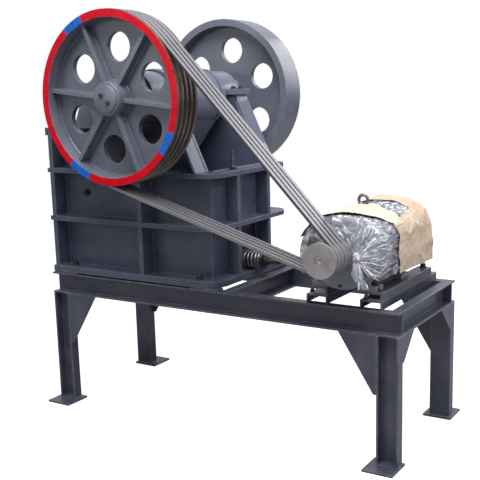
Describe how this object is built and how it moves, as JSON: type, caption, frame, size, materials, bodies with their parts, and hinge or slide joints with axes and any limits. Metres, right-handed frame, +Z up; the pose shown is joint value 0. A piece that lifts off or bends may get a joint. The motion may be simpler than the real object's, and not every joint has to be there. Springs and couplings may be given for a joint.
{
  "type": "jaw crusher on a stand with its motor and belt drive",
  "caption": "Welded jaw crusher with spoked flywheels on a channel-steel stand, driven by V-belts from a wrapped electric motor.",
  "frame": {"origin": "on the floor under the middle of the stand", "axes": "+X along the stand from the crusher to the motor, +Y across it from the belt side to the plain flywheel, +Z up"},
  "size_m": [1.936, 1.1352, 1.9545],
  "materials": {
    "frame_paint": "satin dark blue-grey paint",
    "wheel_paint": "satin dark blue-grey paint with a red and blue rim face",
    "dark_steel": "oiled black steel",
    "bare_steel": "turned, dull",
    "jaw_steel": "rough cast manganese steel",
    "spring_steel": "dark, slightly glossy",
    "belt_rubber": "matt grey-black",
    "motor_paint": "satin grey paint",
    "clear_film": "clear crumpled plastic film",
    "kraft_paper": "creased brown wrapping paper"
  },
  "bodies": {
    "root": {"stand_front_rail": "frame_paint", "stand_back_rail": "frame_paint", "stand_end_beams": "frame_paint", "stand_cross_beam": "frame_paint", "leg_front_left": "frame_paint", "leg_front_right": "frame_paint", "leg_back_left": "frame_paint", "leg_back_right": "frame_paint", "leg_base_plates": "frame_paint", "leg_gussets": "frame_paint", "base_shims": "frame_paint", "lower_rib_ring": "frame_paint", "upper_rib_ring": "frame_paint", "base_flange": "frame_paint", "front_wall": "frame_paint", "upright_ribs": "frame_paint", "front_ribs": "frame_paint", "top_bars": "frame_paint", "side_wall_front": "frame_paint", "side_wall_back": "frame_paint", "pedestal_plates": "frame_paint", "rear_wall": "frame_paint", "spring_bracket": "frame_paint", "lifting_lugs": "frame_paint", "base_bolts": "dark_steel", "wall_bolts": "dark_steel", "rear_stud": "dark_steel", "bearing_housing_front": "frame_paint", "bearing_housing_back": "frame_paint", "fixed_jaw_plate": "jaw_steel", "cheek_plates": "jaw_steel", "toggle_block": "frame_paint", "toggle_plate": "frame_paint", "tension_rod": "dark_steel", "tension_spring": "spring_steel", "v_belts": "belt_rubber", "motor_body": "motor_paint", "motor_eyebolt": "dark_steel", "motor_base_channels": "frame_paint", "motor_slide_rails": "frame_paint", "motor_film": "clear_film", "motor_paper": "kraft_paper"},
    "flywheels": {"eccentric_shaft": "bare_steel", "drive_flywheel": "wheel_paint", "plain_flywheel": "wheel_paint", "hub_caps": "wheel_paint"},
    "swing_jaw": {"pitman": "frame_paint", "swing_jaw_plate": "jaw_steel"},
    "motor_rotor": {"motor_shaft": "bare_steel", "motor_pulley": "bare_steel"}
  },
  "joints": [
    {"name": "flywheel_spin", "type": "hinge", "parent": "root", "child": "flywheels", "pos_m": [-0.361, 0, 1.563], "axis": [0, 1, 0], "continuous": true},
    {"name": "jaw_swing", "type": "hinge", "parent": "flywheels", "child": "swing_jaw", "pos_m": [-0.361, 0, 1.553], "axis": [0, 1, 0], "continuous": true},
    {"name": "motor_spin", "type": "hinge", "parent": "root", "child": "motor_rotor", "pos_m": [0.696, 0, 0.915], "axis": [0, 1, 0], "continuous": true}
  ],
  "couplings": [
    {"joint": "jaw_swing", "follows": "flywheel_spin", "ratio": -1},
    {"joint": "motor_spin", "follows": "flywheel_spin", "ratio": 5.5644}
  ]
}
